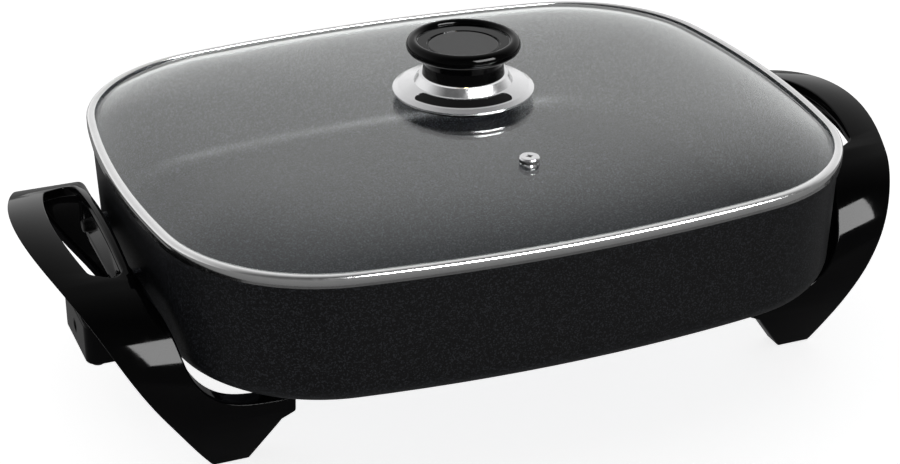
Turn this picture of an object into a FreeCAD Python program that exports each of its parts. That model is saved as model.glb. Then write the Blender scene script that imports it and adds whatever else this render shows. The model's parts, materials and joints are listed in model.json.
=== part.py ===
import FreeCAD, Part
import math
import os

# Electric skillet with a lift-off glass lid and a plug-in heat control.
# Millimetres. Z is up and zero at the feet, X runs along the handles, Y from front to back.
# The origin is on the table, under the middle of the pan.

# Plan outline shared by the pan and the lid: a rounded rectangle with bowed sides.
HALF_LENGTH = 210.0
HALF_WIDTH = 173.0
LONG_SIDE_RADIUS = 865.0
SHORT_SIDE_RADIUS = 549.0
CORNER_RADIUS = 97.0

# Pan
PAN_FLOOR_Z = 54.0
PAN_TOP_Z = 128.0
PAN_FLOOR = 4.0
PAN_WALL = 3.0
PAN_TOP_INSET = 2.1
PAN_BOTTOM_INSET = 4.8
PAN_BOTTOM_FILLET = 14.0
LIP_HEIGHT = 3.5
LIP_INSET = 0.7
FLOOR_BOSS_RADIUS = 6.0
WALL_BOSS_RADIUS = 6.0
SCREW_RADIUS = 2.0
SCREW_CLEARANCE = 0.05
SCREW_HEAD_RADIUS = 4.0
SCREW_HEAD_HEIGHT = 2.2
SCREW_BITE = 9.0

# Element under the floor, terminal pins and the bore for the heat probe
CONTROL_AXIS_Z = 45.0
CONTROL_OUTER_X = -(HALF_LENGTH + 27.0)
ELEMENT_RADIUS = 4.0
ELEMENT_CLEARANCE = 0.05
RIDGE_WALL = 3.0
ELEMENT_HALF_LENGTH = HALF_LENGTH - 88.0
ELEMENT_HALF_WIDTH = HALF_WIDTH / 2
ELEMENT_CORNER = 34.0
ELEMENT_LEAD_BEND = 12.0
ELEMENT_END_X = CONTROL_OUTER_X + 85.0
PIN_RADIUS = 2.5
PIN_SPREAD = 13.0
PIN_TIP_X = CONTROL_OUTER_X + 53.0
PROBE_RADIUS = 3.0
PROBE_TIP_X = CONTROL_OUTER_X + 125.0
PROBE_BOSS_RADIUS = 7.0
RUNNING_CLEARANCE = 0.05
BUSH_RADIUS = 5.0

# Guard around the pins
GUARD_SHEET = 1.2
GUARD_BACK_X = CONTROL_OUTER_X + 79.0
GUARD_MOUTH_X = CONTROL_OUTER_X + 50.0
GUARD_FLANGE = 10.0
RIVET_RADIUS = 1.6
RIVET_HEAD_RADIUS = 3.0
RIVET_HEAD_HEIGHT = 1.4
RIVET_BITE = 2.5

# Plug-in heat control
CONTROL_SHOULDER_X = CONTROL_OUTER_X + 35.0
CONTROL_NOSE_X = CONTROL_OUTER_X + 76.5
CONTROL_HALF_WIDTH = 29.5
CONTROL_HALF_HEIGHT = 12.0
NOSE_HALF_WIDTH = 22.5
NOSE_HALF_HEIGHT = 7.0
NOSE_CLEARANCE = 0.8
CONTROL_WALL = 2.0
CONTROL_CORNER = 7.0
CONTROL_EDGE = 1.5
DIAL_X = CONTROL_OUTER_X + 16.0
DIAL_RADIUS = 14.0
DIAL_HEIGHT = 8.0
DIAL_GAP = 0.4
DIAL_SHAFT_RADIUS = 3.0
DIAL_GRIPS = 16
LENS_RADIUS = 2.5
LENS_Y = 21.0
GLAND_RADIUS = 6.0
GLAND_BORE = 3.2
SLEEVE_WALL = 1.2
BLOCK_HALF_WIDTH = 20.0
BLOCK_HALF_HEIGHT = 7.0
BLOCK_DEPTH = 12.0

# Moulded handle: an arch seen from the end, cut to a side outline
ARCH_CROWN_Z = 112.0
ARCH_TOP_RADIUS = 225.0
ARCH_SHOULDER_RADIUS = 58.0
ARCH_TOP_ANGLE = 18.5
ARCH_LEG_RADIUS = 80.0
ARCH_SHOULDER_ANGLE = 76.0
ARCH_LEG_ANGLE = 105.0
HANDLE_WALL = 3.5
HANDLE_SKIRT = 13.0
HANDLE_OUTER_X = HALF_LENGTH + 59.0
HANDLE_INNER_X = HALF_LENGTH + 5.0
FOOT_OUTER_X = HALF_LENGTH - 22.5
FOOT_INNER_X = HALF_LENGTH - 43.0
FOOT_SOLE = 5.0
LEG_TOP_Z = 38.0
LEG_TAB_X = HALF_LENGTH - 69.0
LEG_TAB_DROP = 9.5
SLOT_INNER_X = HANDLE_INNER_X + 4.5
SLOT_OUTER_X = HANDLE_INNER_X + 30.0
SLOT_END_X = HANDLE_INNER_X + 22.5
SLOT_LIP = 6.0
SLOT_HALF_WIDTH = 55.0
SLOT_END_SLANT = 9.0
SLOT_CORNER = 6.0
INNER_WALL_DEPTH = 32.0
GRIP_SCREW_Y = 38.0
GRIP_SCREW_Z = 88.0
LEG_SCREW_X = LEG_TAB_X + 11.0
LEG_SCREW_Y = 100.5
BOSS_SEAT_CLEARANCE = 0.5
OVERSHOOT = 9.0

# Lid
LID_SEAT_GAP = 0.3
RIM_HEIGHT = 6.5
RIM_SHEET = 0.8
RIM_FLANGE = 5.0
RIM_CLEARANCE = 0.1
GLASS_THICKNESS = 4.0
GLASS_CROWN_RISE = 21.6
GLASS_DOME_RADIUS = 2600.0
GLASS_SHOULDER_INSET = 6.2
GLASS_SHOULDER_FILLET = 8.0
VENT_X = 3.0
VENT_Y = -96.0
VENT_BARREL_RADIUS = 3.2
VENT_FLANGE_RADIUS = 5.8
VENT_FLANGE = 1.3
VENT_GASKET = 1.6
VENT_STAR_RADIUS = 2.3
VENT_STAR_WAIST = 1.2
VENT_COLLAR = 2.0

# Knob, stacked up from the crown of the glass
KNOB_X = 3.0
KNOB_WASHER = 0.8
KNOB_WASHER_RADIUS = 14.0
KNOB_BASE_RADIUS = 28.0
KNOB_BASE_HEIGHT = 5.0
FLANGE_RADIUS = 41.6
FLANGE_SHEET = 1.2
FLANGE_RISE = 9.0
COLLAR_RADIUS = 29.0
NECK_RADIUS = 24.3
NECK_HEIGHT = 13.3
NECK_WAIST = 1.0
NECK_WALL = 3.0
CAP_RADIUS = 33.5
CAP_RIM_RADIUS = 4.2
CAP_FLAT_RADIUS = 28.6
CENTRE_DISC_RADIUS = 20.4
CENTRE_GROOVE = 1.2
CENTRE_DISC = 1.6
WINDOW_INNER_RADIUS = 30.0
WINDOW_OUTER_RADIUS = 37.6
WINDOW_HALF_ANGLE = 46.0
WINDOW_DIRECTION = -112.0
WINDOW_PAD_SINK = 0.4
WINDOW_PAD_CLEARANCE = 0.3
KNOB_SCREW_RADIUS = 2.5
KNOB_BOSS_RADIUS = 6.5
INSERT_RADIUS = 4.5
INSERT_LENGTH = 9.0
INNER_WASHER_RADIUS = 9.0
INNER_WASHER = 1.2
WASHER_GAP = 0.05

RIM_BOTTOM_Z = PAN_TOP_Z + LID_SEAT_GAP
RIM_TOP_Z = RIM_BOTTOM_Z + RIM_HEIGHT
GLASS_EDGE_Z = RIM_BOTTOM_Z + RIM_SHEET + RIM_CLEARANCE
GLASS_CROWN_Z = RIM_BOTTOM_Z + GLASS_CROWN_RISE
KNOB_BASE_Z = GLASS_CROWN_Z + KNOB_WASHER
FLANGE_EDGE_Z = KNOB_BASE_Z + KNOB_BASE_HEIGHT
NECK_Z = FLANGE_EDGE_Z + FLANGE_RISE
CAP_Z = NECK_Z + NECK_HEIGHT

UP = FreeCAD.Vector(0, 0, 1)
ALONG = FreeCAD.Vector(1, 0, 0)
ACROSS = FreeCAD.Vector(0, 1, 0)
ORIGIN = FreeCAD.Vector(0, 0, 0)


def vec(x, y, z):
    return FreeCAD.Vector(x, y, z)


def save(shape, node):
    shape.exportStep("parts/" + node + ".step")


def box(x0, x1, y0, y1, z0, z1):
    return Part.makeBox(x1 - x0, y1 - y0, z1 - z0, vec(x0, y0, z0))


def disc(radius, z0, z1, x=0.0, y=0.0):
    return Part.makeCylinder(radius, z1 - z0, vec(x, y, z0), UP)


def rod(radius, x0, x1, y=0.0, z=0.0):
    return Part.makeCylinder(radius, x1 - x0, vec(x0, y, z), ALONG)


def polygon_face(points):
    return Part.Face(Part.makePolygon(points + [points[0]]))


def revolve(profile, x=0.0, y=0.0):
    # The profile holds (radius, height) pairs.
    face = polygon_face([vec(radius, 0, height) for radius, height in profile])
    solid = face.revolve(ORIGIN, UP, 360)
    solid.translate(vec(x, y, 0))
    return solid


def fuse_all(solids):
    return solids[0].fuse(solids[1:]).removeSplitter()


def mirrored(shape, normal):
    return shape.mirror(ORIGIN, normal)


# Plan outline

def corner_centre():
    # The corner circle touches both side arcs from inside.
    long_centre_y = HALF_WIDTH - LONG_SIDE_RADIUS
    short_centre_x = HALF_LENGTH - SHORT_SIDE_RADIUS
    to_long = LONG_SIDE_RADIUS - CORNER_RADIUS
    to_short = SHORT_SIDE_RADIUS - CORNER_RADIUS
    span = math.hypot(short_centre_x, long_centre_y)
    along = (to_long ** 2 - to_short ** 2 + span ** 2) / (2 * span)
    aside = math.sqrt(to_long ** 2 - along ** 2)
    unit_x = short_centre_x / span
    unit_y = -long_centre_y / span
    return along * unit_x + aside * unit_y, long_centre_y + along * unit_y - aside * unit_x


def plan_wire(inset, z):
    cx, cy = corner_centre()
    radius = CORNER_RADIUS - inset
    half_length = HALF_LENGTH - inset
    half_width = HALF_WIDTH - inset
    long_turn = math.atan2(cy - (HALF_WIDTH - LONG_SIDE_RADIUS), cx)
    short_turn = math.atan2(cy, cx - (HALF_LENGTH - SHORT_SIDE_RADIUS))
    middle_turn = (long_turn + short_turn) / 2
    upper = (cx + radius * math.cos(long_turn), cy + radius * math.sin(long_turn))
    middle = (cx + radius * math.cos(middle_turn), cy + radius * math.sin(middle_turn))
    lower = (cx + radius * math.cos(short_turn), cy + radius * math.sin(short_turn))
    right = (half_length, 0)
    back = (0, half_width)

    def arc(start, through, end, sign_x, sign_y):
        points = [vec(sign_x * p[0], sign_y * p[1], z) for p in (start, through, end)]
        return Part.Arc(points[0], points[1], points[2]).toShape()

    def flipped(point, sign_x, sign_y):
        return (sign_x * point[0], sign_y * point[1])

    edges = [arc(upper, middle, lower, 1, 1)]
    edges.append(arc(lower, right, flipped(lower, 1, -1), 1, 1))
    edges.append(arc(lower, middle, upper, 1, -1))
    edges.append(arc(upper, back, flipped(upper, -1, 1), 1, -1))
    edges.append(arc(upper, middle, lower, -1, -1))
    edges.append(arc(lower, right, flipped(lower, 1, -1), -1, -1))
    edges.append(arc(lower, middle, upper, -1, 1))
    edges.append(arc(upper, back, flipped(upper, -1, 1), -1, 1))
    return Part.Wire(edges)


def plan_block(inset, z0, z1):
    return Part.Face(plan_wire(inset, z0)).extrude(vec(0, 0, z1 - z0))


def tub(bottom_inset, top_inset, z0, z1, fillet):
    solid = Part.makeLoft([plan_wire(bottom_inset, z0), plan_wire(top_inset, z1)], True, True)
    floor_edges = [e for e in solid.Edges if e.BoundBox.ZMax < z0 + 0.01]
    return solid.makeFillet(fillet, floor_edges)


# Heating element and what it carries

def element_path():
    # A loop left open at the control's side, with both leads running out to the pins.
    left = -ELEMENT_HALF_LENGTH
    right = ELEMENT_HALF_LENGTH
    top = ELEMENT_HALF_WIDTH
    corners = [(ELEMENT_END_X, PIN_SPREAD, 0.0), (left, PIN_SPREAD, ELEMENT_LEAD_BEND)]
    corners += [(left, top, ELEMENT_CORNER), (right, top, ELEMENT_CORNER)]
    corners += [(x, -y, radius) for x, y, radius in reversed(corners)]
    edges = []
    start = vec(corners[0][0], corners[0][1], CONTROL_AXIS_Z)
    for before, here, after in zip(corners, corners[1:], corners[2:]):
        point = vec(here[0], here[1], CONTROL_AXIS_Z)
        way_in = (point - vec(before[0], before[1], CONTROL_AXIS_Z)).normalize()
        way_out = (vec(after[0], after[1], CONTROL_AXIS_Z) - point).normalize()
        radius = here[2]
        first = point - way_in * radius
        last = point + way_out * radius
        bisector = (way_out - way_in).normalize()
        centre = first + way_out * radius
        through = centre - bisector * radius
        edges.append(Part.LineSegment(start, first).toShape())
        edges.append(Part.Arc(first, through, last).toShape())
        start = last
    end = vec(corners[-1][0], corners[-1][1], CONTROL_AXIS_Z)
    edges.append(Part.LineSegment(start, end).toShape())
    return Part.Wire(edges)


def element_tube(radius):
    start = vec(ELEMENT_END_X, PIN_SPREAD, CONTROL_AXIS_Z)
    section = Part.Wire(Part.makeCircle(radius, start, ALONG))
    return element_path().makePipeShell([section], True, False)


def element_ridge():
    # The cast ridge under the floor that holds the element.
    radius = ELEMENT_RADIUS + RIDGE_WALL
    root_z = PAN_FLOOR_Z + PAN_FLOOR / 2
    x = ELEMENT_END_X
    low_left = vec(x, PIN_SPREAD - radius, CONTROL_AXIS_Z)
    low_right = vec(x, PIN_SPREAD + radius, CONTROL_AXIS_Z)
    bottom = vec(x, PIN_SPREAD, CONTROL_AXIS_Z - radius)
    top_right = vec(x, PIN_SPREAD + radius, root_z)
    top_left = vec(x, PIN_SPREAD - radius, root_z)
    edges = [Part.Arc(low_left, bottom, low_right).toShape()]
    edges.append(Part.LineSegment(low_right, top_right).toShape())
    edges.append(Part.LineSegment(top_right, top_left).toShape())
    edges.append(Part.LineSegment(top_left, low_left).toShape())
    return element_path().makePipeShell([Part.Wire(edges)], True, False)


def floor_boss_places():
    return [(sx * LEG_SCREW_X, sy * LEG_SCREW_Y) for sx in (-1, 1) for sy in (-1, 1)]


def wall_boss_places():
    return [(sx, sy * GRIP_SCREW_Y) for sx in (-1, 1) for sy in (-1, 1)]


def rivet_places():
    middle = (GUARD_BACK_X + GUARD_MOUTH_X) / 2
    reach = (GUARD_BACK_X - GUARD_MOUTH_X) / 4
    y = guard_half_width() + GUARD_FLANGE / 2
    return [(middle + sx * reach, sy * y) for sx in (-1, 1) for sy in (-1, 1)]


def pan():
    outside = tub(PAN_BOTTOM_INSET, PAN_TOP_INSET, PAN_FLOOR_Z, PAN_TOP_Z, PAN_BOTTOM_FILLET)
    lip = plan_block(LIP_INSET, PAN_TOP_Z - LIP_HEIGHT, PAN_TOP_Z)
    additions = [lip, element_ridge()]
    probe_boss = rod(PROBE_BOSS_RADIUS, ELEMENT_END_X, PROBE_TIP_X + RIDGE_WALL, 0, CONTROL_AXIS_Z)
    web = box(ELEMENT_END_X, PROBE_TIP_X + RIDGE_WALL, -PROBE_BOSS_RADIUS, PROBE_BOSS_RADIUS,
              CONTROL_AXIS_Z, PAN_FLOOR_Z + PAN_FLOOR / 2)
    additions += [probe_boss, web]
    for x, y in floor_boss_places():
        additions.append(disc(FLOOR_BOSS_RADIUS, LEG_TOP_Z, PAN_FLOOR_Z + PAN_FLOOR / 2, x, y))
    for side, y in wall_boss_places():
        inner_x = HALF_LENGTH - PAN_BOTTOM_INSET - PAN_WALL
        boss = rod(WALL_BOSS_RADIUS, inner_x, HANDLE_INNER_X, y, GRIP_SCREW_Z)
        additions.append(boss if side > 0 else mirrored(boss, ALONG))
    solid = fuse_all([outside] + additions)
    inside = tub(PAN_BOTTOM_INSET + PAN_WALL, PAN_TOP_INSET + PAN_WALL,
                 PAN_FLOOR_Z + PAN_FLOOR, PAN_TOP_Z + 1.0, PAN_BOTTOM_FILLET - PAN_WALL)
    solid = solid.cut(inside)
    solid = solid.cut(element_tube(ELEMENT_RADIUS + ELEMENT_CLEARANCE))
    bore = PROBE_RADIUS + RUNNING_CLEARANCE
    solid = solid.cut(rod(bore, ELEMENT_END_X - 1.0, PROBE_TIP_X + 0.5, 0, CONTROL_AXIS_Z))
    hole = SCREW_RADIUS + SCREW_CLEARANCE
    for x, y in floor_boss_places():
        solid = solid.cut(disc(hole, LEG_TOP_Z - 1.0, LEG_TOP_Z + SCREW_BITE + 0.5, x, y))
    for side, y in wall_boss_places():
        drill = rod(hole, HANDLE_INNER_X - SCREW_BITE - 0.5, HANDLE_INNER_X + 1.0, y, GRIP_SCREW_Z)
        solid = solid.cut(drill if side > 0 else mirrored(drill, ALONG))
    for x, y in rivet_places():
        rivet_hole = RIVET_RADIUS + SCREW_CLEARANCE
        solid = solid.cut(disc(rivet_hole, PAN_FLOOR_Z - 1.0, PAN_FLOOR_Z + RIVET_BITE + 0.3, x, y))
    return solid


def pin_pair(radius, x0, x1):
    pins = [rod(radius, x0, x1, side * PIN_SPREAD, CONTROL_AXIS_Z) for side in (-1, 1)]
    return Part.makeCompound(pins)


def terminal_bushes():
    # Ceramic beads that centre the pins in the guard's back plate.
    beads = []
    for side in (-1, 1):
        y = side * PIN_SPREAD
        bead = rod(BUSH_RADIUS, GUARD_BACK_X, ELEMENT_END_X, y, CONTROL_AXIS_Z)
        neck = rod(BUSH_RADIUS - 1.2, GUARD_BACK_X - 2.5, GUARD_BACK_X, y, CONTROL_AXIS_Z)
        bore = rod(PIN_RADIUS + RUNNING_CLEARANCE, GUARD_BACK_X - 4.0, ELEMENT_END_X + 1.0, y, CONTROL_AXIS_Z)
        beads.append(bead.fuse(neck).cut(bore))
    return Part.makeCompound(beads)


def guard_half_width():
    return NOSE_HALF_WIDTH + NOSE_CLEARANCE + GUARD_SHEET


def pin_guard():
    half_width = guard_half_width()
    low = CONTROL_AXIS_Z - NOSE_HALF_HEIGHT - NOSE_CLEARANCE - GUARD_SHEET
    outside = box(GUARD_MOUTH_X, GUARD_BACK_X, -half_width, half_width, low, PAN_FLOOR_Z)
    flange = box(GUARD_MOUTH_X, GUARD_BACK_X, -half_width - GUARD_FLANGE, half_width + GUARD_FLANGE,
                 PAN_FLOOR_Z - GUARD_SHEET, PAN_FLOOR_Z)
    inside = box(GUARD_MOUTH_X - 1.0, GUARD_BACK_X - GUARD_SHEET, -half_width + GUARD_SHEET,
                 half_width - GUARD_SHEET, low + GUARD_SHEET, PAN_FLOOR_Z - GUARD_SHEET)
    solid = outside.fuse(flange).cut(inside).removeSplitter()
    for side in (-1, 1):
        hole = rod(BUSH_RADIUS - 1.2 + 0.05, GUARD_BACK_X - 4.0, GUARD_BACK_X + 1.0, side * PIN_SPREAD,
                   CONTROL_AXIS_Z)
        solid = solid.cut(hole)
    solid = solid.cut(rod(PROBE_RADIUS + 0.6, GUARD_BACK_X - 4.0, GUARD_BACK_X + 1.0, 0, CONTROL_AXIS_Z))
    for x, y in rivet_places():
        solid = solid.cut(disc(RIVET_RADIUS + SCREW_CLEARANCE, PAN_FLOOR_Z - 4.0, PAN_FLOOR_Z + 1.0, x, y))
    return solid


def guard_rivets():
    rivets = []
    face_z = PAN_FLOOR_Z - GUARD_SHEET
    for x, y in rivet_places():
        head = disc(RIVET_HEAD_RADIUS, face_z - RIVET_HEAD_HEIGHT, face_z, x, y)
        low_edges = [e for e in head.Edges if e.BoundBox.ZMax < face_z - RIVET_HEAD_HEIGHT + 0.01]
        head = head.makeFillet(RIVET_HEAD_HEIGHT * 0.7, low_edges)
        shank = disc(RIVET_RADIUS, face_z - 0.2, PAN_FLOOR_Z + RIVET_BITE, x, y)
        rivets.append(head.fuse(shank).removeSplitter())
    return Part.makeCompound(rivets)


# Handles

def arch_wire(x, offset):
    # Three tangent arcs and a straight leg, mirrored about the middle, closed along the table.
    angles = [math.radians(a) for a in (ARCH_TOP_ANGLE, ARCH_SHOULDER_ANGLE, ARCH_LEG_ANGLE)]

    def polar(centre, radius, angle):
        return (centre[0] + radius * math.sin(angle), centre[1] + radius * math.cos(angle))

    top_centre = (0.0, ARCH_CROWN_Z - ARCH_TOP_RADIUS)
    shoulder_centre = polar(top_centre, ARCH_TOP_RADIUS - ARCH_SHOULDER_RADIUS, angles[0])
    leg_centre = polar(shoulder_centre, ARCH_SHOULDER_RADIUS - ARCH_LEG_RADIUS, angles[1])
    crown_point = (0.0, ARCH_CROWN_Z - offset)
    first = polar(top_centre, ARCH_TOP_RADIUS - offset, angles[0])
    shoulder = polar(shoulder_centre, ARCH_SHOULDER_RADIUS - offset, (angles[0] + angles[1]) / 2)
    second = polar(shoulder_centre, ARCH_SHOULDER_RADIUS - offset, angles[1])
    bend = polar(leg_centre, ARCH_LEG_RADIUS - offset, (angles[1] + angles[2]) / 2)
    third = polar(leg_centre, ARCH_LEG_RADIUS - offset, angles[2])
    foot = (third[0] + third[1] / math.tan(angles[2]), 0.0)

    def place(point, sign):
        return vec(x, sign * point[0], point[1])

    edges = [Part.LineSegment(place(foot, -1), place(foot, 1)).toShape()]
    edges.append(Part.LineSegment(place(foot, 1), place(third, 1)).toShape())
    edges.append(Part.Arc(place(third, 1), place(bend, 1), place(second, 1)).toShape())
    edges.append(Part.Arc(place(second, 1), place(shoulder, 1), place(first, 1)).toShape())
    edges.append(Part.Arc(place(first, 1), place(crown_point, 1), place(first, -1)).toShape())
    edges.append(Part.Arc(place(first, -1), place(shoulder, -1), place(second, -1)).toShape())
    edges.append(Part.Arc(place(second, -1), place(bend, -1), place(third, -1)).toShape())
    edges.append(Part.LineSegment(place(third, -1), place(foot, -1)).toShape())
    return Part.Wire(edges)


def arch_block(offset):
    # One section swept from under the pan out past the grip.
    start_x = LEG_TAB_X - OVERSHOOT
    return Part.Face(arch_wire(start_x, offset)).extrude(vec(HANDLE_OUTER_X + OVERSHOOT - start_x, 0, 0))


def shifted_spline(points, y, distance):
    # A smooth edge through (x, z) points, moved sideways to its left by a distance.
    edge = Part.BSplineCurve()
    edge.interpolate([vec(x, y, z) for x, z in points])
    if distance == 0:
        return edge
    moved = []
    for x, z in points:
        way = edge.tangent(edge.parameter(vec(x, y, z)))[0]
        moved.append(vec(x - way.z * distance, y, z + way.x * distance))
    shifted = Part.BSplineCurve()
    shifted.interpolate(moved)
    return shifted


def handle_outline(y, inset):
    # Side outline: a bowed outer edge down to the foot, and an inner edge that hooks under the pan.
    foot = FOOT_OUTER_X
    outer_points = [(foot, 0.0), (foot + 7.5, 10.0), (foot + 19.5, 28.0), (foot + 31.5, 45.5)]
    outer_points += [(foot + 48.5, 74.0), (foot + 64.5, 98.5), (HANDLE_OUTER_X, ARCH_CROWN_Z + 2.0)]
    outer_points.append((HANDLE_OUTER_X + 8.0, ARCH_CROWN_Z + 9.0))
    top = HANDLE_INNER_X
    inner_points = [(top, 100.0), (top - 11.0, 82.0), (top - 17.0, 61.0), (top - 34.0, 43.0)]
    inner_points += [(top - 53.0, LEG_TOP_Z + 0.6), (LEG_TAB_X + inset, LEG_TOP_Z)]
    outer_edge = shifted_spline(outer_points, y, inset)
    inner_edge = shifted_spline(inner_points, y, inset)
    tab_z = LEG_TOP_Z - LEG_TAB_DROP + inset * 0.6
    corners = [inner_edge.EndPoint, vec(LEG_TAB_X + inset, y, tab_z)]
    corners += [vec(LEG_TAB_X + 8.0 + inset, y, tab_z - 4.0), vec(FOOT_INNER_X + inset, y, 0)]
    corners.append(outer_edge.StartPoint)
    peak = outer_edge.EndPoint
    above = vec(inner_edge.StartPoint.x, y, peak.z)
    edges = [outer_edge.toShape(), Part.LineSegment(peak, above).toShape()]
    edges += [Part.LineSegment(above, inner_edge.StartPoint).toShape(), inner_edge.toShape()]
    edges += [Part.LineSegment(start, end).toShape() for start, end in zip(corners, corners[1:])]
    return Part.Wire(edges)


def slot_block(grow, z0, z1):
    inner = SLOT_INNER_X - grow
    end = SLOT_HALF_WIDTH + grow
    slant = SLOT_END_SLANT
    near = vec(inner, -end - slant, z0)
    far = vec(inner, end + slant, z0)
    outer_far = vec(SLOT_END_X + grow, end, z0)
    outer_near = vec(SLOT_END_X + grow, -end, z0)
    crown = vec(SLOT_OUTER_X + grow, 0, z0)
    edges = [Part.LineSegment(near, far).toShape()]
    edges.append(Part.LineSegment(far, outer_far).toShape())
    edges.append(Part.Arc(outer_far, crown, outer_near).toShape())
    edges.append(Part.LineSegment(outer_near, near).toShape())
    solid = Part.Face(Part.Wire(edges)).extrude(vec(0, 0, z1 - z0))
    upright = [e for e in solid.Edges if e.BoundBox.ZLength > (z1 - z0) * 0.9]
    return solid.makeFillet(SLOT_CORNER + grow, upright)


def right_handle():
    reach = HALF_WIDTH - 33.0
    prism = Part.Face(handle_outline(-reach, 0.0)).extrude(vec(0, 2 * reach, 0))
    skin = arch_block(0.0)
    solid = skin.common(prism)
    core = Part.Face(handle_outline(-reach, HANDLE_WALL)).extrude(vec(0, 2 * reach, 0))
    hollow = arch_block(HANDLE_WALL).common(core)
    under = arch_block(HANDLE_SKIRT)
    shell = solid.cut(hollow).cut(under)
    slot_low = ARCH_CROWN_Z - INNER_WALL_DEPTH
    slot_high = ARCH_CROWN_Z + OVERSHOOT
    slot_wall = slot_block(HANDLE_WALL, slot_low, slot_high).common(solid).cut(arch_block(SLOT_LIP))
    inner_wall = box(HANDLE_INNER_X, HANDLE_INNER_X + HANDLE_WALL, -SLOT_HALF_WIDTH, SLOT_HALF_WIDTH,
                     slot_low, slot_high).common(skin)
    sole = solid.cut(under).common(box(LEG_TAB_X, FOOT_OUTER_X + OVERSHOOT, -reach, reach, 0, FOOT_SOLE))
    tab_reach = LEG_SCREW_X + FLOOR_BOSS_RADIUS + 2.0
    tabs = solid.cut(under).common(box(LEG_TAB_X, tab_reach, -reach, reach,
                                       LEG_TOP_Z - HANDLE_WALL, LEG_TOP_Z))
    shell = fuse_all([shell, slot_wall, inner_wall, sole, tabs])
    shell = shell.cut(slot_block(0.0, slot_low - OVERSHOOT, slot_high + OVERSHOOT))
    hole = SCREW_RADIUS + SCREW_CLEARANCE
    for side in (-1, 1):
        shell = shell.cut(rod(hole, HANDLE_INNER_X - 1.0, SLOT_INNER_X + 1.0, side * GRIP_SCREW_Y,
                              GRIP_SCREW_Z))
        y = side * LEG_SCREW_Y
        shell = shell.cut(disc(hole, LEG_TOP_Z - 8.0, LEG_TOP_Z + 1.0, LEG_SCREW_X, y))
        seat = FLOOR_BOSS_RADIUS + BOSS_SEAT_CLEARANCE
        shell = shell.cut(disc(seat, LEG_TOP_Z, LEG_TOP_Z + 4.0, LEG_SCREW_X, y))
    return shell


def pan_head_screw():
    # Points up from its head, with the seat of the head at zero.
    head = disc(SCREW_HEAD_RADIUS, -SCREW_HEAD_HEIGHT, 0)
    rim = [e for e in head.Edges if e.BoundBox.ZMax < -SCREW_HEAD_HEIGHT + 0.01]
    head = head.makeFillet(SCREW_HEAD_HEIGHT * 0.6, rim)
    shank = disc(SCREW_RADIUS, -0.2, HANDLE_WALL + SCREW_BITE)
    slot = box(-SCREW_HEAD_RADIUS, SCREW_HEAD_RADIUS, -0.5, 0.5, -SCREW_HEAD_HEIGHT - 1.0,
               -SCREW_HEAD_HEIGHT + 0.9)
    return head.fuse(shank).removeSplitter().cut(slot)


def grip_screws():
    screws = []
    for side in (-1, 1):
        screw = pan_head_screw()
        screw.rotate(ORIGIN, ACROSS, -90)
        screw.translate(vec(HANDLE_INNER_X + HANDLE_WALL, side * GRIP_SCREW_Y, GRIP_SCREW_Z))
        screws.append(screw)
    return Part.makeCompound(screws)


def leg_screws():
    screws = []
    for side in (-1, 1):
        screw = pan_head_screw()
        screw.translate(vec(LEG_SCREW_X, side * LEG_SCREW_Y, LEG_TOP_Z - HANDLE_WALL))
        screws.append(screw)
    return Part.makeCompound(screws)


# Plug-in heat control

def control_block(shrink, z0, z1):
    # The body and its narrower nose, between two heights.
    half = CONTROL_HALF_WIDTH - shrink
    body = box(CONTROL_OUTER_X + shrink, CONTROL_SHOULDER_X - shrink, -half, half, z0, z1)
    upright = [e for e in body.Edges if e.BoundBox.ZLength > (z1 - z0) * 0.9]
    body = body.makeFillet(CONTROL_CORNER - shrink, upright)
    nose_half = NOSE_HALF_WIDTH - shrink
    low = max(z0, CONTROL_AXIS_Z - NOSE_HALF_HEIGHT + shrink)
    high = min(z1, CONTROL_AXIS_Z + NOSE_HALF_HEIGHT - shrink)
    root_x = CONTROL_SHOULDER_X - CONTROL_CORNER
    nose = box(root_x, CONTROL_NOSE_X - shrink, -nose_half, nose_half, low, high)
    return body.fuse(nose).removeSplitter()


def dial_seat_radius():
    return DIAL_SHAFT_RADIUS + 0.05


def control_upper_shell():
    top = CONTROL_AXIS_Z + CONTROL_HALF_HEIGHT
    outside = control_block(0.0, CONTROL_AXIS_Z, top)
    crown = [e for e in outside.Edges if e.BoundBox.ZMin > top - 0.01]
    outside = outside.makeFillet(CONTROL_EDGE, crown)
    inside = control_block(CONTROL_WALL, CONTROL_AXIS_Z - 1.0, top - CONTROL_WALL)
    solid = outside.cut(inside)
    solid = solid.cut(disc(dial_seat_radius(), top - 4.0, top + 1.0, DIAL_X, 0))
    solid = solid.cut(disc(LENS_RADIUS + 0.05, top - 4.0, top + 1.0, DIAL_X, LENS_Y))
    return cut_control_openings(solid)


def control_lower_shell():
    bottom = CONTROL_AXIS_Z - CONTROL_HALF_HEIGHT
    outside = control_block(0.0, bottom, CONTROL_AXIS_Z)
    base = [e for e in outside.Edges if e.BoundBox.ZMax < bottom + 0.01]
    outside = outside.makeFillet(CONTROL_EDGE, base)
    inside = control_block(CONTROL_WALL, bottom + CONTROL_WALL, CONTROL_AXIS_Z + 1.0)
    solid = outside.cut(inside)
    for x, y in control_screw_places():
        solid = solid.cut(disc(SCREW_RADIUS + SCREW_CLEARANCE, bottom - 1.0, bottom + 4.0, x, y))
    return cut_control_openings(solid)


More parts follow.
